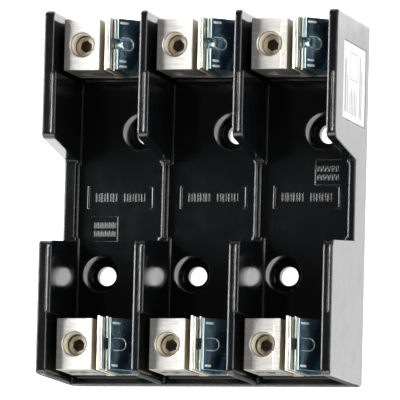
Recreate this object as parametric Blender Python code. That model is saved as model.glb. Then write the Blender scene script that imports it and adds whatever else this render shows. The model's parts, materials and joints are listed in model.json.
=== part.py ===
"""Three-pole cartridge fuse block: moulded base, six box-lug terminals and spring-backed knife-blade clips.

X runs across the poles, Y along the fuses and Z out of the mounting panel. The origin is at the middle of
the mounting face. Dimensions are in millimetres and become metres where a mesh is made.
"""

import math

import bmesh
import bpy

MM = 0.001

# Clearance kept between pieces that touch on the real object.
GAP = 0.3

# How far a cutting shape runs past the surface that it cuts.
OVERRUN = 5.0

# Moulded base.
BASE_WIDTH = 148.2
BASE_LENGTH = 180.0
WALL_TOP = 68.0
FLOOR_TOP = 17.5
RIDGE_TOP = 23.3
TOWER_CORNER_RADIUS = 4.0
PLAN_CORNER_RADIUS = 2.0
WALL_END_RADIUS = 1.5
RECESS_START = 59.3

# The two rows of terminals, and how far from the middle each row's towers end: where the thick wall starts,
# where the tower rises out of the ridge, and where it reaches its top corner.
ROWS = {"upper": 1, "lower": -1}
RIDGE_END = {"upper": 19.2, "lower": 17.6}
TOWER_FOOT = {"upper": 20.5, "lower": 19.6}
TOWER_TOP = {"upper": 26.3, "lower": 23.4}

# Each pole's channel: left wall face, left wall face beside the lugs, right wall face.
CHANNELS = (
    (-67.5, -69.2, -25.55),
    (-20.45, -22.1, 22.2),
    (27.3, 25.65, 69.3),
)

# Faces of the thinner ridges on the left and right of each channel, between the rows.
RIDGE_FACES = (
    (-68.5, -24.1),
    (-22.5, 22.85),
    (24.4, 70.5),
)

# Shallow parting grooves along the wall tops, between the tower's inner corner and the lug recess.
WALL_GROOVES = (-69.8, -22.9, 24.9, 72.0)
GROOVE_WIDTH = 0.5
GROOVE_DEPTH = 0.25
GROOVE_LEAD = 1.5
GROOVE_END = 58.5

# Six mounting holes, one for each pole in each row; the rows are offset sideways in opposite directions.
MOUNT_PITCH = 46.5
MOUNT_ROW_SHIFT = 9.25
MOUNT_ROW_Y = 35.3
MOUNT_COUNTERBORE_RADIUS = 9.1
MOUNT_SEAT_RADIUS = 7.6
MOUNT_SEAT = 5.5
MOUNT_HOLE_RADIUS = 4.7

# Pocket in the underside of each pole.
POCKET_CEILING = 14.5
POCKET_WIDTH = 36.0
POCKET_LENGTH = 42.0

# Label recess in the right-hand side wall.
LABEL_LENGTH = 38.0
LABEL_HEIGHT = 46.0
LABEL_MID_Y = 57.0
LABEL_MID_Z = 30.5
LABEL_THICKNESS = 0.4
LABEL_RECESS = 0.8

# Terminals. Offsets across a terminal are measured from its channel's left wall face.
TERMINAL_Y = 73.8
PEDESTAL_START = 0.9
PEDESTAL_TOP = 28.0
PEDESTAL_LENGTH = 25.8
PEDESTAL_INTO_WALL = 1.0

PLATE_START = 1.6
PLATE_END = 39.8
PLATE_THICKNESS = 2.5
PLATE_LENGTH = 25.4
PLATE_BOTTOM = PEDESTAL_TOP + GAP
PLATE_TOP = PLATE_BOTTOM + PLATE_THICKNESS

LUG_START = 0.9
LUG_WIDTH = 18.4
LUG_LENGTH = 25.1
LUG_TOP = 58.0
LUG_BOTTOM = PLATE_TOP + GAP
LUG_MIDDLE = LUG_START + LUG_WIDTH / 2
LUG_RIM_WIDTH = 3.0
LUG_RIM_HEIGHT = 0.6
LUG_EDGE = 0.6
WIRE_BORE_RADIUS = 7.0
WIRE_BORE_Z = 40.6
SCREW_HOLE_RADIUS = 5.65
SCREW_HOLE_CHAMFER = 1.1

SET_SCREW_RADIUS = 5.35
SET_SCREW_LENGTH = 6.0
SET_SCREW_POINT_RADIUS = 3.85
SET_SCREW_POINT_LENGTH = 1.5
SOCKET_ACROSS_FLATS = 5.5
SOCKET_DEPTH = 3.5
SOCKET_TURN = 20.0
SET_SCREW_EDGE = 0.5
SET_SCREW_DEPTHS = {"upper": (8.4, 8.0, 7.6), "lower": (8.8, 8.4, 9.0)}

JAW_LENGTH = 26.6
BACKING_START = 23.4
SHEET_THICKNESS = 1.3
FIXED_JAW_START = 25.0
FIXED_JAW_TOP = 65.0
BACKING_FOOT_START = 20.0

MOVING_JAW_START = 26.6
MOVING_JAW_THICKNESS = 1.0
MOVING_JAW_TOP = 60.0
JAW_PIVOT_Z = 31.3
JAW_MIDDLE = MOVING_JAW_START + MOVING_JAW_THICKNESS / 2
JAW_NOTCH_WIDTH = 5.5
JAW_NOTCH_DEPTH = 6.0
SHEET_LEAD = 0.6

SPRING_LENGTH = 25.2
SPRING_THICKNESS = 0.6
SPRING_FOLD_RADIUS = 0.1
SPRING_LEG_FOOT = 34.0
SPRING_LEG_START = MOVING_JAW_START + MOVING_JAW_THICKNESS + GAP
SPRING_FOLD_Z = 60.4
SPRING_WING_END = 39.0
SPRING_WING_SLOPE = 45.0
SPRING_LIP_FOOT = 46.0
SLOT_WIDTH = 5.2
SLOT_START = 27.6
SLOT_END = 35.0

TONGUE_WIDTH = 4.4
TONGUE_THICKNESS = 0.7
TONGUE_TOP = 58.1
TONGUE_TIP_DROP = 2.0
TONGUE_TIP = FIXED_JAW_START + SHEET_THICKNESS + GAP
TONGUE_BEND = 31.4
TONGUE_ROOT = 33.2

TERMINAL_SCREW_SHANK = 2.6
TERMINAL_SCREW_HEAD = 5.0
TERMINAL_SCREW_HEAD_HEIGHT = 3.8
TERMINAL_SCREW_HEAD_EDGE = 1.0
TERMINAL_SCREW_SEAT = 5.6
TERMINAL_SCREW_TIP = 33.0
TERMINAL_SCREW_POINT = 0.6
DRIVER_SLOT_WIDTH = 1.2
DRIVER_SLOT_DEPTH = 1.4
HOLE_CLEARANCE = 0.4
HEAD_CLEARANCE = 1.2

RIVET_OFFSET = 34.0
RIVET_SHANK = 2.0
RIVET_HEAD = 4.0
RIVET_HEAD_HEIGHT = 1.5
RIVET_TAIL = 3.4
RIVET_TAIL_HEIGHT = 1.7
RIVET_SEAT = 3.6

# Base colour, roughness and metallic value of each material.
MATERIALS = {
    "black_phenolic": ((0.012, 0.012, 0.013), 0.25, 0.0),
    "label_film": ((0.86, 0.86, 0.84), 0.5, 0.0),
    "tinned_aluminium": ((0.84, 0.83, 0.80), 0.32, 1.0),
    "tinned_copper": ((0.80, 0.79, 0.74), 0.30, 1.0),
    "bright_spring_steel": ((0.78, 0.80, 0.81), 0.12, 1.0),
    "zinc_steel": ((0.70, 0.68, 0.62), 0.35, 1.0),
}


def clear_scene():
    for item in list(bpy.data.objects):
        bpy.data.objects.remove(item, do_unlink=True)


def make_materials():
    made = {}
    for name, (colour, roughness, metallic) in MATERIALS.items():
        material = bpy.data.materials.new(name)
        material.use_nodes = True
        shader = material.node_tree.nodes["Principled BSDF"]
        shader.inputs["Base Color"].default_value = (*colour, 1.0)
        shader.inputs["Roughness"].default_value = roughness
        shader.inputs["Metallic"].default_value = metallic
        made[name] = material
    return made


def place(axis, a, b, height):
    """The point at (a, b) in the outline's plane and at height along the axis."""
    if axis == "X":
        return height, a, b
    if axis == "Y":
        return a, height, b
    return a, b, height


def add_prism(mesh, outline, axis, low, high):
    """Add a closed prism: an outline in the plane across the axis, drawn out from low to high."""
    near = [mesh.verts.new([c * MM for c in place(axis, a, b, low)]) for a, b in outline]
    far = [mesh.verts.new([c * MM for c in place(axis, a, b, high)]) for a, b in outline]
    mesh.faces.new(near)
    mesh.faces.new(far)
    count = len(outline)
    for i in range(count):
        j = (i + 1) % count
        mesh.faces.new((near[i], near[j], far[j], far[i]))


def add_box(mesh, x, y, z):
    outline = ((x[0], y[0]), (x[1], y[0]), (x[1], y[1]), (x[0], y[1]))
    add_prism(mesh, outline, "Z", z[0], z[1])


def add_turned(mesh, profile, segments, axis="Z", centre=(0.0, 0.0)):
    """Add a closed turned solid from a profile of (radius, height) points along the axis."""
    rings = []
    for radius, height in profile:
        ring = []
        for i in range(segments):
            angle = 2 * math.pi * i / segments
            a = centre[0] + radius * math.cos(angle)
            b = centre[1] + radius * math.sin(angle)
            ring.append(mesh.verts.new([c * MM for c in place(axis, a, b, height)]))
        rings.append(ring)
    mesh.faces.new(rings[0])
    mesh.faces.new(rings[-1])
    for k, (low, high) in enumerate(zip(rings, rings[1:])):
        is_side = profile[k][1] != profile[k + 1][1]
        for i in range(segments):
            j = (i + 1) % segments
            face = mesh.faces.new((low[i], low[j], high[j], high[i]))
            face.smooth = is_side


def finish_mesh(mesh, name):
    bmesh.ops.recalc_face_normals(mesh, faces=mesh.faces)
    data = bpy.data.meshes.new(name)
    mesh.to_mesh(data)
    mesh.free()
    return data


def add_object(name, data, material=None, origin=(0.0, 0.0, 0.0)):
    item = bpy.data.objects.new(name, data)
    bpy.context.scene.collection.objects.link(item)
    item.location = [c * MM for c in origin]
    if material and not data.materials:
        data.materials.append(material)
    return item


def add_cutter(name, mesh):
    item = add_object(name, finish_mesh(mesh, name))
    item.hide_render = True
    item.display_type = "WIRE"
    return item


def combine(item, other, operation):
    modifier = item.modifiers.new(other.name, "BOOLEAN")
    modifier.operation = operation
    modifier.solver = "EXACT"
    modifier.object = other


def arc(centre, radius, start, end, steps):
    """Points on an arc in degrees, both ends included."""
    points = []
    for i in range(steps + 1):
        angle = math.radians(start + (end - start) * i / steps)
        points.append((centre[0] + radius * math.cos(angle), centre[1] + radius * math.sin(angle)))
    return points


def base_side_outline():
    """Side view of the walls: two towers with rounded top corners, joined by the low ridge."""
    end = BASE_LENGTH / 2
    radius = TOWER_CORNER_RADIUS
    outline = []
    for row, side in ROWS.items():
        half = [(TOWER_FOOT[row], RIDGE_TOP)]
        half += arc((TOWER_TOP[row] + radius, WALL_TOP - radius), radius, 180, 90, 4)
        half += arc((end - radius, WALL_TOP - radius), radius, 90, 0, 4)
        half += [(end, 0.0)]
        outline += [(side * y, z) for y, z in half][::side]
    return outline


def channel_outline(faces, ridge_faces):
    """Plan of one pole's channel: recesses beside the lugs, rounded wall ends and thinner ridges midway."""
    left, left_recess, right = faces
    ridge_left, ridge_right = ridge_faces
    beyond = BASE_LENGTH
    radius = WALL_END_RADIUS
    end = BASE_LENGTH / 2 - radius
    upper = RIDGE_END["upper"]
    lower = RIDGE_END["lower"]
    outline = [(left_recess - radius, -beyond), (right + radius, -beyond)]
    outline += arc((right + radius, -end), radius, 270, 180, 3)
    outline += [(right, -lower), (ridge_right, -lower), (ridge_right, upper), (right, upper)]
    outline += arc((right + radius, end), radius, 180, 90, 3)
    outline += [(right + radius, beyond), (left_recess - radius, beyond)]
    outline += arc((left_recess - radius, end), radius, 90, 0, 3)
    outline += [(left_recess, RECESS_START), (left, RECESS_START)]
    outline += [(left, upper), (ridge_left, upper), (ridge_left, -lower), (left, -lower)]
    outline += [(left, -RECESS_START), (left_recess, -RECESS_START)]
    return outline + arc((left_recess - radius, -end), radius, 0, -90, 3)


def terminal_places():
    """Row name, pole number, wall face and middle of each of the six terminals."""
    for row, side in ROWS.items():
        for pole, (left, _, right) in enumerate(CHANNELS, start=1):
            yield row, pole, left, right, side * TERMINAL_Y


def mount_places():
    for side in ROWS.values():
        for step in (-1, 0, 1):
            yield side * MOUNT_ROW_SHIFT + step * MOUNT_PITCH, side * MOUNT_ROW_Y


def channel_cutter():
    mesh = bmesh.new()
    for faces, ridge_faces in zip(CHANNELS, RIDGE_FACES):
        add_prism(mesh, channel_outline(faces, ridge_faces), "Z", FLOOR_TOP, 2 * WALL_TOP)
    return add_cutter("channel_cutter", mesh)


def plan_blank():
    """Plan of the whole base, with rounded corners."""
    radius = PLAN_CORNER_RADIUS
    x = BASE_WIDTH / 2 - radius
    y = BASE_LENGTH / 2 - radius
    outline = []
    for centre, start in (((x, -y), -90), ((x, y), 0), ((-x, y), 90), ((-x, -y), 180)):
        outline += arc(centre, radius, start, start + 90, 4)
    mesh = bmesh.new()
    add_prism(mesh, outline, "Z", -OVERRUN, WALL_TOP + OVERRUN)
    return add_cutter("plan_blank", mesh)


def groove_cutter():
    mesh = bmesh.new()
    for middle in WALL_GROOVES:
        x = (middle - GROOVE_WIDTH / 2, middle + GROOVE_WIDTH / 2)
        for row, side in ROWS.items():
            y = sorted((side * (TOWER_TOP[row] + GROOVE_LEAD), side * GROOVE_END))
            add_box(mesh, x, y, (WALL_TOP - GROOVE_DEPTH, WALL_TOP + OVERRUN))
    return add_cutter("groove_cutter", mesh)


def pedestal_union():
    mesh = bmesh.new()
    for _, _, left, right, middle in terminal_places():
        x = (left + PEDESTAL_START, right + PEDESTAL_INTO_WALL)
        y = (middle - PEDESTAL_LENGTH / 2, middle + PEDESTAL_LENGTH / 2)
        add_box(mesh, x, y, (FLOOR_TOP / 2, PEDESTAL_TOP))
    return add_cutter("pedestals", mesh)


def pocket_cutter():
    """One pocket in the underside below each pole's floor."""
    mesh = bmesh.new()
    for left, _, right in CHANNELS:
        middle = (left + right) / 2
        x = (middle - POCKET_WIDTH / 2, middle + POCKET_WIDTH / 2)
        add_box(mesh, x, (-POCKET_LENGTH / 2, POCKET_LENGTH / 2), (-OVERRUN, POCKET_CEILING))
    return add_cutter("pocket_cutter", mesh)


def stepped_hole(lower_radius, step, upper_radius):
    """Profile of a hole through the base that changes radius at the step."""
    top = PEDESTAL_TOP + OVERRUN
    return (lower_radius, -OVERRUN), (lower_radius, step), (upper_radius, step), (upper_radius, top)


def hole_cutter():
    """Counterbored mounting holes, terminal screw holes and rivet holes."""
    mesh = bmesh.new()
    mount = (
        (MOUNT_HOLE_RADIUS, -OVERRUN),
        (MOUNT_HOLE_RADIUS, MOUNT_SEAT),
        (MOUNT_SEAT_RADIUS, MOUNT_SEAT),
        (MOUNT_COUNTERBORE_RADIUS, FLOOR_TOP),
        (MOUNT_COUNTERBORE_RADIUS, FLOOR_TOP + OVERRUN),
    )
    for centre in mount_places():
        add_turned(mesh, mount, 40, centre=centre)
    screw_head = TERMINAL_SCREW_HEAD + HEAD_CLEARANCE
    screw = stepped_hole(screw_head, TERMINAL_SCREW_SEAT, TERMINAL_SCREW_SHANK + HOLE_CLEARANCE)
    rivet_tail = RIVET_TAIL + HEAD_CLEARANCE
    rivet = stepped_hole(rivet_tail, RIVET_SEAT, RIVET_SHANK + HOLE_CLEARANCE)
    for _, _, left, _, middle in terminal_places():
        add_turned(mesh, screw, 24, centre=(left + LUG_MIDDLE, middle))
        add_turned(mesh, rivet, 16, centre=(left + RIVET_OFFSET, middle))
    return add_cutter("hole_cutter", mesh)


def label_recess_cutter():
    mesh = bmesh.new()
    edge = BASE_WIDTH / 2
    y = (LABEL_MID_Y - LABEL_LENGTH / 2 - GAP, LABEL_MID_Y + LABEL_LENGTH / 2 + GAP)
    z = (LABEL_MID_Z - LABEL_HEIGHT / 2 - GAP, LABEL_MID_Z + LABEL_HEIGHT / 2 + GAP)
    add_box(mesh, (edge - LABEL_RECESS, edge + OVERRUN), y, z)
    return add_cutter("label_recess_cutter", mesh)


def make_base(materials):
    mesh = bmesh.new()
    add_prism(mesh, base_side_outline(), "X", -BASE_WIDTH / 2, BASE_WIDTH / 2)
    base = add_object("base", finish_mesh(mesh, "base"), materials["black_phenolic"])
    combine(base, plan_blank(), "INTERSECT")
    combine(base, channel_cutter(), "DIFFERENCE")
    combine(base, groove_cutter(), "DIFFERENCE")
    combine(base, pedestal_union(), "UNION")
    combine(base, pocket_cutter(), "DIFFERENCE")
    combine(base, hole_cutter(), "DIFFERENCE")
    combine(base, label_recess_cutter(), "DIFFERENCE")


def make_label(materials):
    mesh = bmesh.new()
    inner = BASE_WIDTH / 2 - LABEL_RECESS + GAP
    y = (LABEL_MID_Y - LABEL_LENGTH / 2, LABEL_MID_Y + LABEL_LENGTH / 2)
    z = (LABEL_MID_Z - LABEL_HEIGHT / 2, LABEL_MID_Z + LABEL_HEIGHT / 2)
    add_box(mesh, (inner, inner + LABEL_THICKNESS), y, z)
    add_object("rating_label", finish_mesh(mesh, "rating_label"), materials["label_film"])


def chamfered_rectangle(x, z, edge):
    """Outline of a rectangle with small chamfered corners."""
    return [
        (x[0] + edge, z[0]),
        (x[1] - edge, z[0]),
        (x[1], z[0] + edge),
        (x[1], z[1] - edge),
        (x[1] - edge, z[1]),
        (x[0] + edge, z[1]),
        (x[0], z[1] - edge),
        (x[0], z[0] + edge),
    ]


def lug_outline():
    """End view of the lug, about its own middle, with the raised rim along its right-hand top edge."""
    half = LUG_WIDTH / 2
    outline = chamfered_rectangle((-half, half), (LUG_BOTTOM, LUG_TOP + LUG_RIM_HEIGHT), LUG_EDGE)
    rim_foot = half - LUG_RIM_WIDTH
    left_top = [
        (rim_foot, LUG_TOP + LUG_RIM_HEIGHT),
        (rim_foot - LUG_RIM_HEIGHT, LUG_TOP),
        (-half + LUG_EDGE, LUG_TOP),
        (-half, LUG_TOP - LUG_EDGE),
    ]
    return outline[:5] + left_top + outline[7:]


def lug_mesh():
    """The lug block with its wire bore, screw hole and bottom hole cut, as one shared mesh."""
    block = bmesh.new()
    add_prism(block, lug_outline(), "Y", -LUG_LENGTH / 2, LUG_LENGTH / 2)
    body = add_object("lug_blank", finish_mesh(block, "lug_blank"))

    bore = bmesh.new()
    beyond = LUG_LENGTH
    add_turned(bore, ((WIRE_BORE_RADIUS, -beyond), (WIRE_BORE_RADIUS, beyond)), 40, "Y", (0.0, WIRE_BORE_Z))
    bore_cutter = add_cutter("wire_bore_cutter", bore)

    vertical = bmesh.new()
    mouth = SCREW_HOLE_RADIUS + SCREW_HOLE_CHAMFER
    bottom_hole = TERMINAL_SCREW_SHANK + HOLE_CLEARANCE
    profile = (
        (bottom_hole, LUG_BOTTOM - OVERRUN),
        (bottom_hole, WIRE_BORE_Z),
        (SCREW_HOLE_RADIUS, WIRE_BORE_Z),
        (SCREW_HOLE_RADIUS, LUG_TOP - SCREW_HOLE_CHAMFER),
        (mouth, LUG_TOP),
        (mouth, LUG_TOP + OVERRUN),
    )
    add_turned(vertical, profile, 40)
    hole = add_cutter("lug_hole_cutter", vertical)

    combine(body, bore_cutter, "DIFFERENCE")
    combine(body, hole, "DIFFERENCE")
    return settle(body, (bore_cutter, hole))


def settle(item, cutters):
    """Keep the item's evaluated mesh and remove the item and its cutters."""
    graph = bpy.context.evaluated_depsgraph_get()
    graph.update()
    data = bpy.data.meshes.new_from_object(item.evaluated_get(graph), depsgraph=graph)
    for used in (item, *cutters):
        bpy.data.objects.remove(used, do_unlink=True)
    return data


def set_screw_mesh():
    """Set screw about its own top face, with a chamfered point and a hex socket."""
    blank = bmesh.new()
    foot = -SET_SCREW_LENGTH
    profile = (
        (SET_SCREW_POINT_RADIUS, foot),
        (SET_SCREW_RADIUS, foot + SET_SCREW_POINT_LENGTH),
        (SET_SCREW_RADIUS, -SET_SCREW_EDGE),
        (SET_SCREW_RADIUS - SET_SCREW_EDGE, 0.0),
    )
    add_turned(blank, profile, 32)
    body = add_object("set_screw_blank", finish_mesh(blank, "set_screw_blank"))

    socket = bmesh.new()
    corner = SOCKET_ACROSS_FLATS / math.sqrt(3)
    hexagon = arc((0.0, 0.0), corner, SOCKET_TURN, SOCKET_TURN + 300, 5)
    add_prism(socket, hexagon, "Z", -SOCKET_DEPTH, OVERRUN)
    socket_cutter = add_cutter("socket_cutter", socket)
    combine(body, socket_cutter, "DIFFERENCE")
    return settle(body, (socket_cutter,))


def contact_outline():
    """End view of the contact: the plate, the groove for the moving jaw and the fixed jaw."""
    jaw_end = FIXED_JAW_START + SHEET_THICKNESS
    groove_radius = MOVING_JAW_THICKNESS / 2 + GAP
    groove_angle = math.degrees(math.asin((JAW_PIVOT_Z - PLATE_TOP) / groove_radius))
    groove = arc((JAW_MIDDLE, JAW_PIVOT_Z), groove_radius, 180 + groove_angle, 360 - groove_angle, 6)
    outline = [
        (PLATE_START, PLATE_BOTTOM),
        (PLATE_END, PLATE_BOTTOM),
        (PLATE_END, PLATE_TOP),
    ]
    outline += reversed(groove)
    outline += [
        (jaw_end, PLATE_TOP),
        (jaw_end, FIXED_JAW_TOP - SHEET_LEAD),
        (jaw_end - SHEET_LEAD, FIXED_JAW_TOP),
        (FIXED_JAW_START, FIXED_JAW_TOP),
        (FIXED_JAW_START, PLATE_TOP),
        (PLATE_START, PLATE_TOP),
    ]
    return outline


def contact_mesh():
    blank = bmesh.new()
    add_prism(blank, contact_outline(), "Y", -PLATE_LENGTH / 2, PLATE_LENGTH / 2)
    body = add_object("contact_blank", finish_mesh(blank, "contact_blank"))
    holes = bmesh.new()
    screw_radius = TERMINAL_SCREW_SHANK + HOLE_CLEARANCE
    rivet_radius = RIVET_SHANK + HOLE_CLEARANCE
    span = (PLATE_BOTTOM - OVERRUN, PLATE_TOP + OVERRUN)
    add_turned(holes, [(screw_radius, z) for z in span], 24, centre=(LUG_MIDDLE, 0.0))
    add_turned(holes, [(rivet_radius, z) for z in span], 16, centre=(RIVET_OFFSET, 0.0))
    hole_set = add_cutter("contact_hole_cutter", holes)
    combine(body, hole_set, "DIFFERENCE")
    return settle(body, (hole_set,))


def backing_mesh():
    """Steel strip behind the fixed jaw, with its foot turned towards the lug."""
    blank = bmesh.new()
    low = PLATE_TOP + GAP
    right = BACKING_START + SHEET_THICKNESS
    outline = (
        (BACKING_FOOT_START, low),
        (right, low),
        (right, FIXED_JAW_TOP),
        (BACKING_START + SHEET_LEAD, FIXED_JAW_TOP),
        (BACKING_START, FIXED_JAW_TOP - SHEET_LEAD),
        (BACKING_START, low + SHEET_THICKNESS),
        (BACKING_FOOT_START, low + SHEET_THICKNESS),
    )
    add_prism(blank, outline, "Y", -JAW_LENGTH / 2, JAW_LENGTH / 2)
    return finish_mesh(blank, "backing")


def moving_jaw_mesh():
    """Moving jaw about its pivot: a strip with a round foot and a notch in the middle of its top edge."""
    half = MOVING_JAW_THICKNESS / 2
    top = MOVING_JAW_TOP - JAW_PIVOT_Z
    foot = arc((0.0, 0.0), half, 180, 360, 6)
    round_top = arc((0.0, top - half), half, 0, 180, 6)
    length = JAW_LENGTH / 2
    blank = bmesh.new()
    add_prism(blank, foot + round_top, "Y", -length, length)
    body = add_object("jaw_blank", finish_mesh(blank, "jaw_blank"))
    notch = bmesh.new()
    width = JAW_NOTCH_WIDTH / 2
    add_box(notch, (-OVERRUN, OVERRUN), (-width, width), (top - JAW_NOTCH_DEPTH, top + OVERRUN))
    notch_cutter = add_cutter("notch_cutter", notch)
    combine(body, notch_cutter, "DIFFERENCE")
    return settle(body, (notch_cutter,))


def spring_outline():
    """End view of the spring leaf about the jaw's pivot: leg, rounded fold, sloping wing and short lip."""
    t = SPRING_THICKNESS
    inside = SPRING_FOLD_RADIUS
    outside = inside + t
    leg = SPRING_LEG_START - JAW_MIDDLE
    fold_centre = (leg + outside, SPRING_FOLD_Z - outside - JAW_PIVOT_Z)
    end = SPRING_WING_END - JAW_MIDDLE
    slope = math.radians(SPRING_WING_SLOPE)
    wing_start = (fold_centre[0] + outside * math.cos(slope), fold_centre[1] + outside * math.sin(slope))
    outer_end = (end, wing_start[1] - (end - wing_start[0]) * math.tan(slope))
    lip_foot = SPRING_LIP_FOOT - JAW_PIVOT_Z
    outer = [(leg, SPRING_LEG_FOOT - JAW_PIVOT_Z)]
    outer += arc(fold_centre, outside, 180, SPRING_WING_SLOPE, 6)
    outer += [outer_end, (end, lip_foot)]
    inner_bend = (end - t, outer_end[1] - t * math.tan(slope / 2))
    inner = [(end - t, lip_foot), inner_bend]
    inner += arc(fold_centre, inside, SPRING_WING_SLOPE, 180, 3)
    inner += [(leg + t, SPRING_LEG_FOOT - JAW_PIVOT_Z)]
    return outer + inner


def spring_mesh(slotted):
    blank = bmesh.new()
    add_prism(blank, spring_outline(), "Y", -SPRING_LENGTH / 2, SPRING_LENGTH / 2)
    if not slotted:
        return finish_mesh(blank, "spring_leaf")
    body = add_object("spring_blank", finish_mesh(blank, "spring_blank"))
    slot = bmesh.new()
    half = SLOT_WIDTH / 2
    start = SLOT_START - JAW_MIDDLE
    end = SLOT_END - JAW_MIDDLE
    round_end = arc((end - half, 0.0), half, -90, 90, 10)
    outline = [(start, -half)] + round_end + [(start, half)]
    top = SPRING_FOLD_Z - JAW_PIVOT_Z
    add_prism(slot, outline, "Z", SPRING_LIP_FOOT - JAW_PIVOT_Z, top + OVERRUN)
    slot_cutter = add_cutter("slot_cutter", slot)
    combine(body, slot_cutter, "DIFFERENCE")
    return settle(body, (slot_cutter,))


def tongue_mesh():
    """Rejection tongue about the jaw's pivot: climbs out of the slot, then dips through the jaw's notch."""
    t = TONGUE_THICKNESS
    top = TONGUE_TOP - JAW_PIVOT_Z
    tip = TONGUE_TIP - JAW_MIDDLE
    bend = TONGUE_BEND - JAW_MIDDLE
    root = TONGUE_ROOT - JAW_MIDDLE
    drop = root - bend
    tip_top = top - TONGUE_TIP_DROP
    inner_shift = t * math.tan(math.radians(SPRING_WING_SLOPE / 2))
    foot_shift = t * math.sin(math.radians(SPRING_WING_SLOPE))
    outline = (
        (tip, tip_top - t),
        (bend - inner_shift, top - t),
        (root - foot_shift, top - drop - foot_shift),
        (root, top - drop),
        (bend, top),
        (tip, tip_top),
    )
    blank = bmesh.new()
    add_prism(blank, outline, "Y", -TONGUE_WIDTH / 2, TONGUE_WIDTH / 2)
    return finish_mesh(blank, "rejection_tongue")


def terminal_screw_mesh():
    """Pan-head screw, head down, from the underside recess up into the lug's floor."""
    head_top = TERMINAL_SCREW_SEAT - GAP
    head_foot = head_top - TERMINAL_SCREW_HEAD_HEIGHT
    profile = (
        (TERMINAL_SCREW_HEAD - TERMINAL_SCREW_HEAD_EDGE, head_foot),
        (TERMINAL_SCREW_HEAD, head_foot + TERMINAL_SCREW_HEAD_EDGE),
        (TERMINAL_SCREW_HEAD, head_top),
        (TERMINAL_SCREW_SHANK, head_top),
        (TERMINAL_SCREW_SHANK, TERMINAL_SCREW_TIP - TERMINAL_SCREW_POINT),
        (TERMINAL_SCREW_SHANK - TERMINAL_SCREW_POINT, TERMINAL_SCREW_TIP),
    )
    blank = bmesh.new()
    add_turned(blank, profile, 24)
    body = add_object("terminal_screw_blank", finish_mesh(blank, "terminal_screw_blank"))
    slot = bmesh.new()
    half = DRIVER_SLOT_WIDTH / 2
    reach = TERMINAL_SCREW_HEAD + OVERRUN
    add_box(slot, (-reach, reach), (-half, half), (head_foot - OVERRUN, head_foot + DRIVER_SLOT_DEPTH))
    slot_cutter = add_cutter("driver_slot_cutter", slot)
    combine(body, slot_cutter, "DIFFERENCE")
    return settle(body, (slot_cutter,))


def clip_rivet_mesh():
    """Rivet with its head on the contact plate and its tail in a recess of the underside."""
    head_low = PLATE_TOP + GAP
    tail_top = RIVET_SEAT - GAP
    profile = (
        (RIVET_TAIL, tail_top - RIVET_TAIL_HEIGHT),
        (RIVET_TAIL, tail_top),
        (RIVET_SHANK, tail_top),
        (RIVET_SHANK, head_low),
        (RIVET_HEAD, head_low),
        (RIVET_HEAD, head_low + RIVET_HEAD_HEIGHT / 2),
        (RIVET_HEAD * 0.6, head_low + RIVET_HEAD_HEIGHT),
    )
    mesh = bmesh.new()
    add_turned(mesh, profile, 16)
    return finish_mesh(mesh, "clip_rivet")


def make_terminals(materials):
    shared = {
        "lug": (lug_mesh(), "tinned_aluminium", LUG_MIDDLE, 0.0),
        "contact": (contact_mesh(), "tinned_copper", 0.0, 0.0),
        "backing": (backing_mesh(), "zinc_steel", 0.0, 0.0),
        "terminal_screw": (terminal_screw_mesh(), "zinc_steel", LUG_MIDDLE, 0.0),
        "clip_rivet": (clip_rivet_mesh(), "zinc_steel", RIVET_OFFSET, 0.0),
        "moving_jaw": (moving_jaw_mesh(), "tinned_copper", JAW_MIDDLE, JAW_PIVOT_Z),
    }
    springs = {"upper": spring_mesh(slotted=True), "lower": spring_mesh(slotted=False)}
    set_screw = set_screw_mesh()
    tongue = tongue_mesh()
    for row, pole, left, _, middle in terminal_places():
        label = f"{row}_{pole}"
        for kind, (data, material, offset, height) in shared.items():
            origin = (left + offset, middle, height)
            add_object(f"{kind}_{label}", data, materials[material], origin)
        pivot = (left + JAW_MIDDLE, middle, JAW_PIVOT_Z)
        add_object(f"spring_leaf_{label}", springs[row], materials["bright_spring_steel"], pivot)
        screw_top = (left + LUG_MIDDLE, middle, LUG_TOP - SET_SCREW_DEPTHS[row][pole - 1])
        add_object(f"set_screw_{label}", set_screw, materials["zinc_steel"], screw_top)
        if row == "upper":
            add_object(f"rejection_tongue_{label}", tongue, materials["bright_spring_steel"], pivot)


def main():
    clear_scene()
    materials = make_materials()
    make_base(materials)
    make_label(materials)
    make_terminals(materials)


main()
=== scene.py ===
"""Studio scene of the three-pole fuse block: finishes, fine moulded detail, camera, floor and lights.

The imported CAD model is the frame. X runs across the poles, Y along the fuses and Z out of the mounting
panel. Detail dimensions are in millimetres and become metres where a mesh is made.
"""

import json
import math

import bmesh
import bpy
from mathutils import Matrix, Vector


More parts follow.
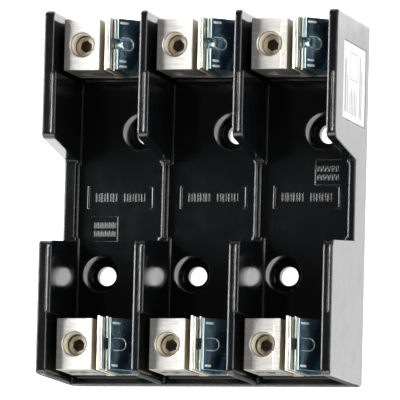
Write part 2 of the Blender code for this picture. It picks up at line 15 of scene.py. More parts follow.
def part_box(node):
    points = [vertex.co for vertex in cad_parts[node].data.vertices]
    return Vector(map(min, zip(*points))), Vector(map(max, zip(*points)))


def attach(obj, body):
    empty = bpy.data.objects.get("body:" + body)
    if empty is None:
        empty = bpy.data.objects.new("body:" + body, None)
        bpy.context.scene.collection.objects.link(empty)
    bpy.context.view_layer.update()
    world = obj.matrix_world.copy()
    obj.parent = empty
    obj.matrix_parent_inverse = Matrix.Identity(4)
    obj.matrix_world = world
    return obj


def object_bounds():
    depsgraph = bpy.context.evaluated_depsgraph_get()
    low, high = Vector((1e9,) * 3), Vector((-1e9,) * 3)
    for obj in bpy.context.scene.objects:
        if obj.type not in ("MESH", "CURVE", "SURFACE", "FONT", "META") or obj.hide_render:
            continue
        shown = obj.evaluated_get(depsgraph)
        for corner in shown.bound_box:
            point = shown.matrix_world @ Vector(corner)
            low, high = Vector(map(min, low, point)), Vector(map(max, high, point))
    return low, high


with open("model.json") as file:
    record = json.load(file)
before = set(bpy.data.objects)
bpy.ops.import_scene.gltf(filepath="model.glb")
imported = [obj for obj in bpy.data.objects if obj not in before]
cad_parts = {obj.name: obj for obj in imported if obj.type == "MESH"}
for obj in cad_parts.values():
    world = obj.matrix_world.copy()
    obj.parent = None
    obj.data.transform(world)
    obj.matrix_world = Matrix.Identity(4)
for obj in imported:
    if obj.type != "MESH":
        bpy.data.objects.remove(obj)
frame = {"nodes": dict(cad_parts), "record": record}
cad_low, cad_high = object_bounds()

MM = 0.001

RIGHT = Vector((1.0, 0.0, 0.0))
AHEAD = Vector((0.0, 1.0, 0.0))
UP = Vector((0.0, 0.0, 1.0))

POLES = (1, 2, 3)
ROWS = ("upper", "lower")

# Levels in the moulded base.
FLOOR_TOP = 17.5
POCKET_CEILING = 14.5

# Width and height of a line raised on the channel floors.
MARK_WIDTH = 1.3
MARK_HEIGHT = 0.3

# Each spring leaf's fold, and the slope in degrees of the wing that runs down from it.
FOLD_RADIUS = 0.7
WING_SLOPE = 45.0

# Radius to which the moulding's edges are shaded.
MOULDED_EDGE = 1.2

# Width of the bevel on the edges of each kind of CAD node.
EDGE_WIDTHS = {
    "base": 0.22,
    "rating_label": 0.08,
    "lug": 0.15,
    "contact": 0.1,
    "backing": 0.1,
    "moving_jaw": 0.08,
    "spring_leaf": 0.07,
    "rejection_tongue": 0.08,
    "set_screw": 0.1,
    "terminal_screw": 0.12,
    "clip_rivet": 0.12,
}

# Camera, turned in degrees from a straight look down on the block: its distance and lens, and the
# place across its view and up it that it is centred on.
CAMERA_TURN = -14.33
CAMERA_TIP = -6.39
CAMERA_ROLL = 0.15
CAMERA_DISTANCE = 4000.0
CAMERA_LENS = 726.3
CAMERA_AIM = (-10.1, 3.3)

# Radiance of the studio walls, of the ceiling, and of the light table's own glow.
WORLD_HORIZON = 0.35
WORLD_ZENITH = 0.05
TABLE_GLOW = 1.55

WHITE = (1.0, 1.0, 1.0, 1.0)


# Materials


def add_node(tree, kind, inputs=None, **settings):
    """Add a node, set its properties, and fill or link its inputs."""
    made = tree.nodes.new(kind)
    for name, value in settings.items():
        setattr(made, name, value)
    for name, value in (inputs or {}).items():
        if isinstance(value, bpy.types.NodeSocket):
            tree.links.new(value, made.inputs[name])
        else:
            made.inputs[name].default_value = value
    return made


class Finish:
    """A Principled material under construction, patterned in the object's own space."""

    def __init__(self, name, metallic=0.0, ior=1.5):
        self.material = bpy.data.materials.new(name)
        self.material.use_nodes = True
        self.tree = self.material.node_tree
        self.shader = self.tree.nodes["Principled BSDF"]
        self.shader.inputs["Metallic"].default_value = metallic
        self.shader.inputs["IOR"].default_value = ior
        self.place = add_node(self.tree, "ShaderNodeTexCoord").outputs["Object"]
        self.normal = None

    def noise(self, size, detail=3.0, stretch=(1.0, 1.0, 1.0), roughness=0.5):
        """Noise with features of about size mm, drawn out by stretch along each axis."""
        scale = [1.0 / s for s in stretch]
        mapped = add_node(self.tree, "ShaderNodeMapping", {"Vector": self.place, "Scale": scale})
        inputs = {
            "Vector": mapped.outputs["Vector"],
            "Scale": 1.0 / (size * MM),
            "Detail": detail,
            "Roughness": roughness,
        }
        return add_node(self.tree, "ShaderNodeTexNoise", inputs).outputs["Fac"]

    def spread(self, value, low, high, to_low=0.0, to_high=1.0):
        """Map value from low..high onto to_low..to_high, held at the ends."""
        inputs = {
            "Value": value,
            "From Min": low,
            "From Max": high,
            "To Min": to_low,
            "To Max": to_high,
        }
        return add_node(self.tree, "ShaderNodeMapRange", inputs).outputs["Result"]

    def mix(self, factor, first, second):
        """Mix two colours, each a tuple or a socket."""
        mixer = add_node(self.tree, "ShaderNodeMix", data_type="RGBA")
        # A Mix node numbers its factor 0, and its two colours 6 and 7.
        sockets = (mixer.inputs[0], mixer.inputs[6], mixer.inputs[7])
        for socket, value in zip(sockets, (factor, first, second)):
            if isinstance(value, bpy.types.NodeSocket):
                self.tree.links.new(value, socket)
            elif isinstance(value, tuple):
                socket.default_value = (*value, 1.0)
            else:
                socket.default_value = value
        return mixer.outputs[2]

    def calculate(self, operation, *values):
        """One Math node's result for the given values."""
        inputs = dict(enumerate(values))
        return add_node(self.tree, "ShaderNodeMath", inputs, operation=operation).outputs["Value"]

    def sum(self, first, second):
        return self.calculate("ADD", first, second)

    def product(self, first, second):
        return self.calculate("MULTIPLY", first, second)

    def tinted(self, colour, tint, pattern, share):
        """Lay a tint over a colour, by the pattern's value times share."""
        return self.mix(self.product(pattern, share), colour, tint)

    def raised(self, value, pattern, amount):
        """Add the pattern's value times amount."""
        return self.sum(value, self.product(pattern, amount))

    def round_off(self, radius):
        """Shade edges as if they were rounded to a radius in mm."""
        rounded = add_node(self.tree, "ShaderNodeBevel", {"Radius": radius * MM}, samples=6)
        self.normal = rounded.outputs["Normal"]

    def surface_normal(self):
        return add_node(self.tree, "ShaderNodeNewGeometry").outputs["Normal"]

    def component(self, vector, axis):
        """The size of a vector's X, Y or Z, without its sign."""
        part = add_node(self.tree, "ShaderNodeSeparateXYZ", {"Vector": vector}).outputs[axis]
        return self.calculate("ABSOLUTE", part)

    def worn_edges(self, radius):
        """One along convex and concave edges, falling to zero within radius mm."""
        flat = 0.995
        turned = 0.9
        rounded = add_node(self.tree, "ShaderNodeBevel", {"Radius": radius * MM}, samples=4)
        inputs = {0: rounded.outputs["Normal"], 1: self.surface_normal()}
        likeness = add_node(self.tree, "ShaderNodeVectorMath", inputs, operation="DOT_PRODUCT")
        return self.spread(likeness.outputs["Value"], flat, turned)

    def leaning(self, level, steep):
        """Zero where the surface normal's Z is level or more, one where it is steep or less."""
        return self.spread(self.component(self.surface_normal(), "Z"), level, steep)

    def beyond(self, reach):
        """One further than reach mm to either side of the object's middle plane, and zero inside."""
        fade = 1.0
        return self.spread(self.component(self.place, "X"), (reach - fade) * MM, reach * MM)

    def bump(self, height, depth, strength=1.0):
        """Raise the surface by height, a value from 0 to 1, times depth mm."""
        inputs = {"Height": height, "Distance": depth * MM, "Strength": strength}
        if self.normal:
            inputs["Normal"] = self.normal
        self.normal = add_node(self.tree, "ShaderNodeBump", inputs).outputs["Normal"]

    def finish(self, colour, roughness):
        self.tree.links.new(colour, self.shader.inputs["Base Color"])
        self.tree.links.new(roughness, self.shader.inputs["Roughness"])
        if self.normal:
            self.tree.links.new(self.normal, self.shader.inputs["Normal"])
        return self.material


def black_phenolic(name, edge_radius=0.0):
    """Glossy black moulding compound with flow mottling, faint dust, rubbed edges and handled sides."""
    deep = (0.0012, 0.0015, 0.0018)
    pale = (0.0032, 0.0036, 0.0040)
    dusty = (0.05, 0.055, 0.055)
    rubbed = (0.05, 0.052, 0.055)
    greyed = (0.055, 0.056, 0.056)
    side_depth = 0.5

    made = Finish(name, ior=1.6)
    flow = made.noise(22.0, detail=4.0, stretch=(1.0, 2.5, 1.0))
    dust = made.spread(made.noise(0.8, detail=2.0), 0.68, 0.8)
    streaks = made.noise(1.6, detail=5.0, stretch=(1.0, 14.0, 1.0), roughness=0.6)
    scuff = made.spread(streaks, 0.6, 0.75)
    patches = made.spread(made.noise(2.5, detail=4.0), 0.35, 0.65)
    edges = made.product(made.worn_edges(0.5), patches)
    cloud = made.noise(14.0, detail=5.0, stretch=(1.0, 1.6, 1.0), roughness=0.6)
    handled = made.raised(made.spread(cloud, 0.38, 0.68), scuff, 0.8)
    handled = made.product(handled, made.beyond(cad_high.x / MM - side_depth))

    colour = made.mix(flow, deep, pale)
    colour = made.tinted(colour, dusty, dust, 0.2)
    colour = made.tinted(colour, rubbed, edges, 0.35)
    colour = made.tinted(colour, greyed, handled, 0.35)
    roughness = made.spread(made.noise(9.0, detail=5.0), 0.3, 0.7, 0.09, 0.16)
    roughness = made.raised(roughness, scuff, 0.10)
    roughness = made.raised(roughness, handled, 0.12)
    roughness = made.raised(roughness, edges, 0.15)
    if edge_radius:
        made.round_off(edge_radius)
    made.bump(flow, 0.08, 0.35)
    made.bump(made.noise(0.45, detail=2.0), 0.012, 0.5)
    return made.finish(colour, roughness)


def satin_tin():
    """Tin-plated aluminium with fine saw and brushing lines, soft stains and nicks, and painted shade on
    its sloping and upright faces.
    """
    clean = (0.58, 0.57, 0.545)
    stained = (0.45, 0.44, 0.41)
    sawn = (0.30, 0.29, 0.27)
    nicked = (0.22, 0.21, 0.19)
    side = (0.24, 0.23, 0.18)
    rubbed = (0.80, 0.80, 0.79)

    made = Finish("satin_tin", metallic=0.8)
    lines = made.noise(0.16, detail=3.0, stretch=(1.0, 40.0, 4.0), roughness=0.6)
    cross = made.noise(0.3, detail=2.0, stretch=(22.0, 1.0, 1.0))
    cloud = made.noise(6.0, detail=5.0, stretch=(1.0, 1.4, 1.0), roughness=0.6)
    stain = made.spread(cloud, 0.35, 0.7)
    strokes = made.noise(0.8, detail=3.0, stretch=(10.0, 1.0, 1.0), roughness=0.65)
    saw = made.spread(strokes, 0.4, 0.68)
    nick = made.spread(made.noise(0.9, detail=3.0, roughness=0.7), 0.66, 0.78)
    edges = made.worn_edges(0.35)

    colour = made.mix(stain, clean, stained)
    colour = made.tinted(colour, sawn, saw, 0.6)
    colour = made.tinted(colour, nicked, nick, 0.7)
    # Sloping and upright faces are darkened towards side: painted shade.
    colour = made.tinted(colour, side, made.leaning(0.85, 0.4), 0.85)
    colour = made.tinted(colour, rubbed, edges, 0.4)
    roughness = made.spread(lines, 0.3, 0.7, 0.38, 0.5)
    roughness = made.raised(roughness, stain, 0.05)
    made.bump(lines, 0.03, 0.5)
    made.bump(cross, 0.015, 0.4)
    made.bump(nick, -0.04, 0.5)
    return made.finish(colour, roughness)


def tinned_strip():
    """Smoother tin plating of the contact strips, with long rolling lines."""
    clean = (0.62, 0.63, 0.58)
    clouded = (0.48, 0.50, 0.44)
    rubbed = (0.74, 0.74, 0.70)

    made = Finish("tinned_strip", metallic=1.0)
    lines = made.noise(0.2, detail=2.0, stretch=(1.0, 30.0, 1.0), roughness=0.6)
    cloud = made.spread(made.noise(4.0, detail=4.0), 0.35, 0.7)
    rub = made.spread(made.noise(0.7, detail=3.0, stretch=(1.0, 1.0, 12.0)), 0.6, 0.75)

    colour = made.mix(cloud, clean, clouded)
    colour = made.tinted(colour, rubbed, rub, 0.35)
    roughness = made.spread(lines, 0.3, 0.7, 0.22, 0.34)
    roughness = made.raised(roughness, cloud, 0.06)
    made.bump(lines, 0.012, 0.3)
    return made.finish(colour, roughness)


def bright_nickel():
    """Mirror-like nickel plating with a painted blue reflection where it leans, rolling lines and light
    scratches.
    """
    lying = (0.50, 0.54, 0.50)
    pale_blue = (0.46, 0.68, 0.82)
    deep_blue = (0.28, 0.53, 0.74)
    scratched = (0.82, 0.86, 0.86)

    made = Finish("bright_nickel", metallic=1.0)
    sheet = made.noise(9.0, detail=3.0, stretch=(1.0, 3.0, 1.0))
    hairlines = made.noise(0.35, detail=3.0, stretch=(9.0, 1.0, 9.0), roughness=0.65)
    scratch = made.spread(hairlines, 0.6, 0.72)
    smear = made.spread(made.noise(3.0, detail=4.0, stretch=(1.0, 2.0, 1.0)), 0.4, 0.75)

    # Faces that lean are painted blue, a painted reflection; level faces keep the plating's own
    # grey-green.
    blue = made.mix(sheet, pale_blue, deep_blue)
    colour = made.mix(made.leaning(0.95, 0.75), lying, blue)
    colour = made.tinted(colour, scratched, scratch, 0.4)
    roughness = made.spread(smear, 0.0, 1.0, 0.08, 0.2)
    roughness = made.raised(roughness, scratch, 0.15)
    made.bump(sheet, 0.06, 0.3)
    made.bump(scratch, 0.008, 0.5)
    return made.finish(colour, roughness)


def pressed_nickel():
    """Nickel where a tool has pressed or rubbed it: pale, satin and scratched."""
    pale = (0.90, 0.93, 0.92)
    greyed = (0.74, 0.80, 0.79)
    dull = (0.40, 0.52, 0.52)

    made = Finish("pressed_nickel", metallic=0.35)
    rub = made.noise(0.3, detail=3.0, stretch=(8.0, 1.0, 8.0), roughness=0.6)
    patch = made.spread(made.noise(1.5, detail=4.0), 0.35, 0.7)

    colour = made.mix(rub, pale, greyed)
    colour = made.tinted(colour, dull, patch, 0.4)
    roughness = made.spread(rub, 0.3, 0.7, 0.34, 0.5)
    made.bump(rub, 0.02, 0.5)
    return made.finish(colour, roughness)


def zinc_passivate():
    """Straw-coloured zinc plating of the screws and steel strips, dulled in patches."""
    straw = (0.68, 0.63, 0.55)
    dulled = (0.56, 0.50, 0.40)
    grimy = (0.26, 0.21, 0.15)

    made = Finish("zinc_passivate", metallic=0.75)
    patch = made.spread(made.noise(2.2, detail=5.0, roughness=0.6), 0.35, 0.65)
    turning = made.noise(0.22, detail=2.0, stretch=(1.0, 1.0, 0.6))
    grime = made.spread(made.noise(1.1, detail=4.0), 0.62, 0.8)

    colour = made.mix(patch, straw, dulled)
    colour = made.tinted(colour, grimy, grime, 0.45)
    roughness = made.spread(patch, 0.0, 1.0, 0.34, 0.48)
    roughness = made.raised(roughness, grime, 0.15)
    made.bump(turning, 0.02, 0.5)
    return made.finish(colour, roughness)


def dull_thread():
    """Cream-coloured, matt cut threads, with darker cuts and a trace of grease."""
    cream = (0.86, 0.81, 0.70)
    cut = (0.70, 0.65, 0.55)
    greasy = (0.36, 0.29, 0.20)

    made = Finish("dull_thread", metallic=0.25)
    grease = made.spread(made.noise(1.4, detail=4.0), 0.45, 0.75)
    cuts = made.noise(0.25, detail=2.0, stretch=(8.0, 8.0, 1.0))

    colour = made.mix(cuts, cream, cut)
    colour = made.tinted(colour, greasy, grease, 0.35)
    roughness = made.spread(cuts, 0.3, 0.7, 0.42, 0.6)
    made.bump(cuts, 0.03, 0.5)
    return made.finish(colour, roughness)


def socket_painted_shade():
    """Painted shade inside the screws' sockets: black-brown, browner in patches."""
    black_shade = (0.045, 0.035, 0.016)
    brown_shade = (0.16, 0.13, 0.07)

    made = Finish("socket_painted_shade")
    shade_mottle = made.spread(made.noise(0.9, detail=4.0), 0.4, 0.7)

    colour = made.mix(shade_mottle, black_shade, brown_shade)
    roughness = made.spread(shade_mottle, 0.0, 1.0, 0.28, 0.5)
    made.bump(made.noise(0.3, detail=3.0), 0.03, 0.6)
    return made.finish(colour, roughness)


def label_film():
    """White self-adhesive film with a slight orange peel and a trace of handling."""
    light = (0.44, 0.44, 0.44)
    shaded = (0.39, 0.39, 0.39)
    smudged = (0.30, 0.30, 0.29)

    made = Finish("label_film_white", ior=1.38)
    tone = made.noise(7.0, detail=4.0)
    smudge = made.spread(made.noise(3.0, detail=4.0), 0.58, 0.8)

    colour = made.mix(tone, light, shaded)
    colour = made.tinted(colour, smudged, smudge, 0.2)
    roughness = made.spread(made.noise(1.2, detail=3.0), 0.3, 0.7, 0.55, 0.7)
    made.bump(made.noise(0.6, detail=2.0), 0.01, 0.5)
    return made.finish(colour, roughness)


def label_ink():
    """Grey print, a little uneven."""
    dark = (0.10, 0.10, 0.10)
    thin = (0.20, 0.20, 0.20)

    made = Finish("label_ink_grey", ior=1.38)
    colour = made.mix(made.noise(0.5, detail=4.0), dark, thin)
    roughness = made.spread(made.noise(0.9, detail=3.0), 0.3, 0.7, 0.4, 0.6)
    return made.finish(colour, roughness)


# Meshes


def finish_piece(mesh, name, material, body):
    """Turn a bmesh in mm into a smooth-shaded piece that rides on a CAD body."""
    crease_angle = math.radians(40)
    bmesh.ops.scale(mesh, vec=(MM, MM, MM), verts=mesh.verts)
    bmesh.ops.recalc_face_normals(mesh, faces=mesh.faces)
    data = bpy.data.meshes.new(name)
    mesh.to_mesh(data)
    mesh.free()
    data.shade_smooth()
    data.set_sharp_from_angle(angle=crease_angle)
    data.materials.append(material)
    piece = bpy.data.objects.new(name, data)
    bpy.context.scene.collection.objects.link(piece)
    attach(piece, body)


def skin(mesh, rings, closed=False, open_start=False):
    """Join each ring of vertices to the next. The ends meet if closed, and are capped if not."""
    following = rings[1:] + rings[:1] if closed else rings[1:]
    for first, second in zip(rings, following):
        count = len(first)
        for i in range(count):
            j = (i + 1) % count
            mesh.faces.new((first[i], first[j], second[j], second[i]))
    if closed:
        return
    if not open_start:
        mesh.faces.new(rings[0])
    mesh.faces.new(rings[-1])


def raised_section(width, height):
    """Section of a raised line as (across, up) points: a low hump, its foot sunk in the surface."""
    sink = 0.08
    fullness = 0.8
    steps = 8
    points = [(-width / 2, -sink), (width / 2, -sink)]
    for i in range(steps + 1):
        across = 0.5 - i / steps
        points.append((across * width, math.cos(math.pi * across) ** fullness * height))
    return points


def add_sweep(mesh, path, ups, section, closed=False):
    """Sweep a section of (across, up) points along a path, with one up direction for each point."""
    most_widening = 2.0
    count = len(path)
    rings = []
    for i, (point, up) in enumerate(zip(path, ups)):
        before = path[i - 1] if closed or i > 0 else None
        after = path[(i + 1) % count] if closed or i < count - 1 else None
        arriving = (point - before).normalized() if before else None
        leaving = (after - point).normalized() if after else None
        arriving = arriving or leaving
        leaving = leaving or arriving
        along = (arriving + leaving).normalized()
        side = along.cross(up).normalized()
        widen = 1.0 / max(along.dot(leaving), 1.0 / most_widening)
        rings.append([mesh.verts.new(point + side * (a * widen) + up * b) for a, b in section])
    skin(mesh, rings, closed)


def add_line(mesh, path, up, width=MARK_WIDTH, height=MARK_HEIGHT, closed=False):
    """A raised half-round line along a path on a flat surface that faces up."""
    add_sweep(mesh, path, [up] * len(path), raised_section(width, height), closed)


def plane_points(origin, right, ahead, places):
    """Points at (across, along) places in the plane through origin."""
    return [origin + right * a + ahead * b for a, b in places]


def rectangle(width, height):
    """Corners of a rectangle about its own middle."""
    a = width / 2
    b = height / 2
    return ((-a, -b), (a, -b), (a, b), (-a, b))


def arc(centre, radius, start, end, steps):
    """(across, along) places on an arc in degrees, both ends included."""
    places = []
    for i in range(steps + 1):
        angle = math.radians(start + (end - start) * i / steps)
        places.append((centre[0] + radius * math.cos(angle), centre[1] + radius * math.sin(angle)))
    return places


def rounded_bar(length, width):
    """Outline of a bar with rounded ends, about its own middle."""
    steps = 6
    radius = width / 2
    reach = length / 2 - radius
    return arc((reach, 0.0), radius, -90, 90, steps) + arc((-reach, 0.0), radius, 90, 270, steps)


def add_bar(mesh, origin, right, ahead, length, width, height, edge=0.0):
    """A flat raised bar with rounded ends, its sides leaning in by edge and its foot sunk."""
    sink = 0.05
    up = right.cross(ahead)
    rings = []
    for level, inset in ((-sink, 0.0), (0.0, 0.0), (height, -edge)):
        outline = rounded_bar(length + 2 * inset, width + 2 * inset)
        points = plane_points(origin, right, ahead, outline)
        rings.append([mesh.verts.new(point + up * level) for point in points])
    skin(mesh, rings)


# Where things are


def opening(name):
    """Low and high corner of one of the record's stated openings, in mm."""
    for stated in frame["record"]["physics"]["openings"]:
        if stated["name"] == name:
            return [Vector(corner) / MM for corner in stated["box_m"]]
    raise KeyError(name)


def channel_middle(pole):
    """Place across the block of the middle of a pole's fuse channel, in mm."""
    low, high = opening(f"fuse_channel_{pole}")
    return (low.x + high.x) / 2


def node_box(name):
    """Low and high corner of a CAD node, in mm."""
    low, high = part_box(name)
    return low / MM, high / MM


def top_middle(name):
    """Middle of the top of a CAD node's box, in mm."""
    low, high = node_box(name)
    middle = (low + high) / 2
    return Vector((middle.x, middle.y, high.z))


def terminals():
    """The label of each terminal, as its CAD nodes carry it."""
    for row in ROWS:
        for pole in POLES:
            yield f"{row}_{pole}"


# Pieces


def dress_cad_nodes(materials):
    """Give each CAD node its finish, and round its edges with modifiers."""
    slots = {part["node"]: part["material_slot"] for part in frame["record"]["subparts"]}
    for name, item in frame["nodes"].items():
        kind = name if name in EDGE_WIDTHS else name.rsplit("_", 2)[0]
        item.data.materials.clear()
        item.data.materials.append(materials[slots[name]])
        round_edges(item, EDGE_WIDTHS[kind], kind == "lug")


def round_edges(item, width, broad_flats):
    """Bevel a CAD node's edges. Broad flats are merged into one face each and shaded exactly flat."""
    weld = item.modifiers.new("weld", "WELD")
    weld.merge_threshold = 0.002 * MM
    if broad_flats:
        flats = item.modifiers.new("flats", "DECIMATE")
        flats.decimate_type = "DISSOLVE"
        flats.angle_limit = math.radians(1)
    bevel = item.modifiers.new("bevel", "BEVEL")
    bevel.width = width * MM
    bevel.segments = 2
    bevel.limit_method = "ANGLE"
    bevel.angle_limit = math.radians(50)
    bevel.use_clamp_overlap = False
    shade = item.modifiers.new("shade", "WEIGHTED_NORMAL")
    shade.weight = 100
    if broad_flats:
        # Face areas that differ by more than a square millimetre count as different.
        shade.thresh = MM * MM
    shade.keep_sharp = False


def make_floor_marks(material):
    """Bracketed blank rating panels on all three floors, and wire gauges beside two of them."""
    panel_place = 2.7
    left_gauge_inset = 11.0
    left_gauge_place = -13.0
    right_gauge_inset = 8.0
    right_gauge_place = 15.0
    mesh = bmesh.new()
    for pole in POLES:
        add_rating_panel(mesh, Vector((channel_middle(pole), panel_place, FLOOR_TOP)))
    left = opening("fuse_channel_1")[0].x + left_gauge_inset
    right = opening("fuse_channel_3")[1].x - right_gauge_inset
    add_wire_gauge(mesh, Vector((left, left_gauge_place, FLOOR_TOP)), 1)
    add_wire_gauge(mesh, Vector((right, right_gauge_place, FLOOR_TOP)), -1)
    finish_piece(mesh, "moulded_floor_marks", material, "holder")


def add_box_row(mesh, middle, count, pitch, size, skipped=None):
    """A row of small upright blank boxes in raised outline, without the one numbered skipped."""
    line_width = 0.75
    line_height = 0.22
    corners = rectangle(*size)
    for i in range(count):
        if i != skipped:
            place = middle + RIGHT * (pitch * (i - (count - 1) / 2))
            outline = plane_points(place, RIGHT, AHEAD, corners)
            add_line(mesh, outline, UP, line_width, line_height, closed=True)


def add_rating_panel(mesh, middle):
    """Square brackets round two groups of blank boxes."""
    half_length = 16.6
    half_height = 5.2
    turn = 1.8
    for side in (-1, 1):
        places = (
            (side * (half_length - turn), -half_height),
            (side * half_length, -half_height),
            (side * half_length, half_height),
            (side * (half_length - turn), half_height),
        )
        add_line(mesh, plane_points(middle, RIGHT, AHEAD, places), UP)
    add_box_row(mesh, middle, count=9, pitch=2.9, size=(1.6, 3.8), skipped=4)


def add_wire_gauge(mesh, origin, side):
    """Open bracket round two rows of blank boxes, which stands for the wire stripping gauge."""
    length = 13.0
    depth = 12.5
    line_width = 0.7
    row_places = (-2.4, 1.8)
    places = [(side * a, b) for a, b in rectangle(length, depth)]
    add_line(mesh, plane_points(origin, RIGHT, AHEAD, places), UP, line_width)
    for shift in row_places:
        add_box_row(mesh, origin + AHEAD * shift, count=6, pitch=1.9, size=(1.0, 2.6))


def make_pocket_marks(material):
    """Ejector-pin rings on the ceilings of the underside pockets, seen from below."""
    pin_across = 12.0
    pin_along = 14.0
    pin_radius = 3.0
    line_width = 0.4
    line_height = 0.2
    corners = 24
    last_corner = 360 - 360 / corners
    mesh = bmesh.new()
    for pole in POLES:
        middle = Vector((channel_middle(pole), 0.0, POCKET_CEILING))
        for a in (-pin_across, pin_across):
            for b in (-pin_along, pin_along):
                circle = arc((a, b), pin_radius, 0, last_corner, corners - 1)
                path = plane_points(middle, RIGHT, AHEAD, circle)
                add_line(mesh, path, -UP, line_width, line_height, closed=True)
    finish_piece(mesh, "pocket_pin_marks", material, "holder")


def make_threads(material):
    """Cut threads down each lug's screw hole, clear of the set screw."""
    pitch = 1.27
    root = 5.64
    crest = 5.44
    top = 56.8
    turns = 6
    steps = 28
    sink = 0.06
    half = pitch / 2
    peak = 0.15 * half
    section = ((-half, -sink), (half, -sink), (half, 0.0), (peak, root - crest), (-half, 0.0))
    for label in terminals():
        centre = top_middle(f"set_screw_{label}")
        mesh = bmesh.new()
        path = []
        ups = []
        for i in range(turns * steps + 1):
            angle = 2 * math.pi * i / steps
            out = Vector((math.cos(angle), math.sin(angle), 0.0))
            level = top - pitch * i / steps
            path.append(Vector((centre.x, centre.y, level)) + out * root)
            ups.append(-out)
        add_sweep(mesh, path, ups, section)
        finish_piece(mesh, f"lug_thread_{label}", material, "holder")


def make_sockets(material):
    """Dark lining of each set screw's socket, painted shade: a six-lobed cup with a sunken floor."""
    lobes = 6
    lobe_height = 0.1
    lobe_turn = math.radians(20)
    steps = 36
    radius = 2.62
    depth = 3.3
    # Share of the radius, and level below the screw's top, of each ring from the mouth down.
    levels = ((1.06, -0.02), (1.0, -0.3), (1.0, -0.9 * depth), (0.55, -depth))
    for label in terminals():
        mouth = top_middle(f"set_screw_{label}")
        mesh = bmesh.new()
        rings = []
        for share, level in levels:
            ring = []
            for i in range(steps):
                angle = 2 * math.pi * i / steps
                reach = share * (radius + lobe_height * math.cos(lobes * (angle - lobe_turn)))
                place = Vector((reach * math.cos(angle), reach * math.sin(angle), level))
                ring.append(mesh.verts.new(mouth + place))
            rings.append(ring)
        skin(mesh, rings, open_start=True)
        finish_piece(mesh, f"socket_shade_lining_{label}", material, f"clamp_screw_{label}")


def wing_frame(label):
    """The top of a spring's sloping wing, the direction down its slope, and its normal."""
    low, high = node_box(f"spring_leaf_{label}")
    slope = math.radians(WING_SLOPE)
    down = Vector((math.cos(slope), 0.0, -math.sin(slope)))
    normal = Vector((math.sin(slope), 0.0, math.cos(slope)))
    fold_centre = Vector((low.x + FOLD_RADIUS, (low.y + high.y) / 2, high.z - FOLD_RADIUS))
    return fold_centre + normal * FOLD_RADIUS, down, normal


def make_spring_details(pressed, plain):
    """Press marks near the fold of each spring leaf, and a bead round its slot."""
    # Place along the fold, and length down the slope, of each row's press marks.
    marks = {
        "upper": ((-11.0, 4.4), (-8.4, 4.0), (10.4, 4.8)),
        "lower": ((-10.6, 3.6), (10.2, 4.6)),
    }
    mark_start = 0.9
    mark_width = 1.1
    mark_height = 0.12
    mark_edge = 0.1
    slot_start = 1.6
    slot_end = 8.8
    slot_radius = 3.0
    bead_width = 0.6
    bead_height = 0.2
    slot_curve = arc((slot_end - slot_radius, 0.0), slot_radius, -90, 90, 12)
    slot_outline = [(slot_start, -slot_radius)] + slot_curve + [(slot_start, slot_radius)]
    for label in terminals():
        body = f"sprung_jaw_{label}"
        row = label.split("_")[0]
        start, down, normal = wing_frame(label)
        mesh = bmesh.new()
        for shift, length in marks[row]:
            origin = start + down * (mark_start + length / 2) + AHEAD * shift
            add_bar(mesh, origin, down, AHEAD, length, mark_width, mark_height, mark_edge)
        finish_piece(mesh, f"spring_marks_{label}", pressed, body)

        mesh = bmesh.new()
        path = plane_points(start, down, AHEAD, slot_outline)
        add_line(mesh, path, normal, bead_width, bead_height)
        finish_piece(mesh, f"slot_bead_{label}", plain, body)


def make_tongue_ribs(material):
    """A pressed crease along each rejection tongue, which narrows towards the tip."""
    drop = 2.0
    bend_inset = 1.8
    side_gap = 0.03
    sink = 0.05
    foot = 0.02
    crest_half = 0.1
    crest = 1.1
    for pole in POLES:
        label = f"upper_{pole}"
        low, high = node_box(f"rejection_tongue_{label}")
        bend = high.x - bend_inset
        length = bend - low.x
        fall = math.atan2(drop, length)
        along = Vector((-math.cos(fall), 0.0, -math.sin(fall)))
        up = Vector((-math.sin(fall), 0.0, math.cos(fall)))
        start = Vector((bend, (low.y + high.y) / 2, high.z))
        half = (high.y - low.y) / 2 - side_gap
        section = (
            (-half, -sink),
            (half, -sink),
            (half, foot),
            (crest_half, crest),
            (-crest_half, crest),
            (-half, foot),
        )
        # Distance from the bend, and share of the full height, along the tongue.
        stations = ((-0.4, 0.2), (0.5, 0.8), (length * 0.5, 1.0), (length - 0.05, 0.55))
        mesh = bmesh.new()
        rings = []
        for distance, share in stations:
            ring = []
            for across, height in section:
                rise = height * share
                ring.append(mesh.verts.new(start + along * distance + AHEAD * across + up * rise))
            rings.append(ring)
        skin(mesh, rings)
        finish_piece(mesh, f"tongue_rib_{label}", material, f"sprung_jaw_{label}")


def make_label_print(material):
    """Plain bars that stand for the label's print: a heading, a block of lines and a framed box."""
    # Level, share of the label's width, and thickness of each single bar.
    bars = ((18.5, 0.7, 2.4), (14.0, 0.5, 1.2), (-12.0, 0.8, 1.0), (-15.0, 0.62, 1.0))
    printed_share = 0.84
    line_top = 8.5
    line_pitch = 3.2
    line_thickness = 0.8
    line_shares = (0.28, 0.34, 0.28, 0.34, 0.28)
    frame_corners = ((1.5, -7.0), (14.5, -7.0), (14.5, 9.5), (1.5, 9.5))
    frame_line = 0.4
    height = 0.05
    low, high = node_box("rating_label")
    width = high.y - low.y
    face = Vector((high.x, (low.y + high.y) / 2, (low.z + high.z) / 2))
    mesh = bmesh.new()
    lines = [(line_top - line_pitch * i, share, line_thickness) for i, share in enumerate(line_shares)]
    for level, share, thickness in (*bars, *lines):
        length = width * share
        origin = face + UP * level + AHEAD * (length - width * printed_share) / 2
        add_bar(mesh, origin, AHEAD, UP, length, thickness, height)
    path = plane_points(face, AHEAD, UP, frame_corners)
    add_line(mesh, path, RIGHT, frame_line, height, closed=True)
    finish_piece(mesh, "label_print", material, "holder")


# Stage


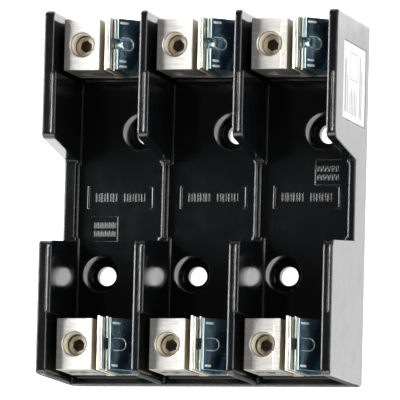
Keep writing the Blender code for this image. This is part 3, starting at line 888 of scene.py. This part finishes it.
def make_camera():
    camera = bpy.data.objects.new("camera", bpy.data.cameras.new("camera"))
    bpy.context.scene.collection.objects.link(camera)
    tip = Matrix.Rotation(math.radians(CAMERA_TIP), 3, "X")
    turn = Matrix.Rotation(math.radians(CAMERA_TURN), 3, "Y")
    roll = Matrix.Rotation(math.radians(CAMERA_ROLL), 3, "Z")
    axes = (roll @ turn @ tip).transposed()
    stand = axes @ Vector((*CAMERA_AIM, CAMERA_DISTANCE))
    camera.matrix_world = Matrix.Translation(stand * MM) @ axes.to_4x4()
    camera.data.lens = CAMERA_LENS
    camera.data.clip_end = 20.0
    bpy.context.scene.camera = camera


def add_studio_piece(mesh, name, grey, roughness, glow=0.0):
    """Turn a bmesh in metres into an object of one plain grey, which may glow white."""
    data = bpy.data.meshes.new(name)
    mesh.to_mesh(data)
    mesh.free()
    item = bpy.data.objects.new(name, data)
    bpy.context.scene.collection.objects.link(item)
    material = bpy.data.materials.new(name)
    material.use_nodes = True
    shader = material.node_tree.nodes["Principled BSDF"]
    shader.inputs["Base Color"].default_value = (grey, grey, grey, 1.0)
    shader.inputs["Roughness"].default_value = roughness
    shader.inputs["Emission Color"].default_value = WHITE
    shader.inputs["Emission Strength"].default_value = glow
    data.materials.append(material)
    return item


def make_floor():
    """Back-lit white table, so that the holes and side faces see the same white as the background."""
    half_size = 6.0
    drop = 0.2
    mesh = bmesh.new()
    bmesh.ops.create_grid(mesh, x_segments=8, y_segments=8, size=half_size)
    floor = add_studio_piece(mesh, "floor", 0.3, 0.7, TABLE_GLOW)
    floor.location.z = -drop * MM


def make_shadow_card():
    """Grey card standing in for the table's shadow along the block's near end: painted shade that only
    the block sees, which keeps that end's faces dark.
    """
    reach = 22.0
    gap = 0.4
    past_left = 60.0
    past_right = 1.0
    drop = 0.1
    low, high = node_box("base")
    corners = (
        (low.x - past_left, low.y - reach),
        (high.x + past_right, low.y - reach),
        (high.x + past_right, low.y - gap),
        (low.x - past_left, low.y - gap),
    )
    mesh = bmesh.new()
    mesh.faces.new([mesh.verts.new(Vector((x, y, -drop)) * MM) for x, y in corners])
    card = add_studio_piece(mesh, "painted_shadow_card", 0.12, 0.8)
    card.visible_camera = False


def make_world():
    """Grey studio walls at the horizon, nearly black overhead."""
    walls_end = 0.05
    ceiling_start = 0.75
    world = bpy.data.worlds.new("studio")
    bpy.context.scene.world = world
    world.use_nodes = True
    tree = world.node_tree
    place = add_node(tree, "ShaderNodeTexCoord").outputs["Generated"]
    height = add_node(tree, "ShaderNodeSeparateXYZ", {"Vector": place}).outputs["Z"]
    inputs = {
        "Value": height,
        "From Min": walls_end,
        "From Max": ceiling_start,
        "To Min": 1.0,
        "To Max": 0.0,
    }
    share = add_node(tree, "ShaderNodeMapRange", inputs, interpolation_type="SMOOTHSTEP")
    inputs = {0: share.outputs["Result"], 1: WORLD_HORIZON - WORLD_ZENITH, 2: WORLD_ZENITH}
    strength = add_node(tree, "ShaderNodeMath", inputs, operation="MULTIPLY_ADD")
    background = tree.nodes["Background"]
    background.inputs["Color"].default_value = WHITE
    tree.links.new(strength.outputs["Value"], background.inputs["Strength"])


def add_softbox(name, azimuth, elevation, size, radiance):
    """Rectangular light, a metre from the block and facing it. Azimuth is from +X towards +Y."""
    a = math.radians(azimuth)
    e = math.radians(elevation)
    away = Vector((math.cos(a) * math.cos(e), math.sin(a) * math.cos(e), math.sin(e)))
    data = bpy.data.lights.new(name, "AREA")
    data.shape = "RECTANGLE"
    data.size = size[0]
    data.size_y = size[1]
    data.energy = radiance * math.pi * size[0] * size[1]
    lamp = bpy.data.objects.new(name, data)
    lamp.location = away
    lamp.rotation_euler = away.to_track_quat("Z", "Y").to_euler()
    lamp.visible_camera = False
    bpy.context.scene.collection.objects.link(lamp)


def make_lights():
    add_softbox("left_softbox", azimuth=174, elevation=41, size=(1.0, 0.66), radiance=15.0)
    add_softbox("left_strip", azimuth=176, elevation=30, size=(1.1, 0.17), radiance=24.0)
    add_softbox("right_softbox", azimuth=4, elevation=32, size=(0.9, 0.7), radiance=7.0)
    add_softbox("front_softbox", azimuth=-95, elevation=28, size=(0.8, 0.6), radiance=3.0)


def main():
    materials = {
        "black_phenolic": black_phenolic("black_phenolic_moulded", MOULDED_EDGE),
        "label_film": label_film(),
        "tinned_aluminium": satin_tin(),
        "tinned_copper": tinned_strip(),
        "bright_spring_steel": bright_nickel(),
        "zinc_steel": zinc_passivate(),
    }
    dress_cad_nodes(materials)
    raised_phenolic = black_phenolic("black_phenolic_raised")
    make_floor_marks(raised_phenolic)
    make_pocket_marks(raised_phenolic)
    make_threads(dull_thread())
    make_sockets(socket_painted_shade())
    make_spring_details(pressed_nickel(), materials["tinned_copper"])
    make_tongue_ribs(materials["bright_spring_steel"])
    make_label_print(label_ink())
    make_camera()
    make_floor()
    make_shadow_card()
    make_world()
    make_lights()
    bpy.context.scene.view_settings.view_transform = "Standard"


main()
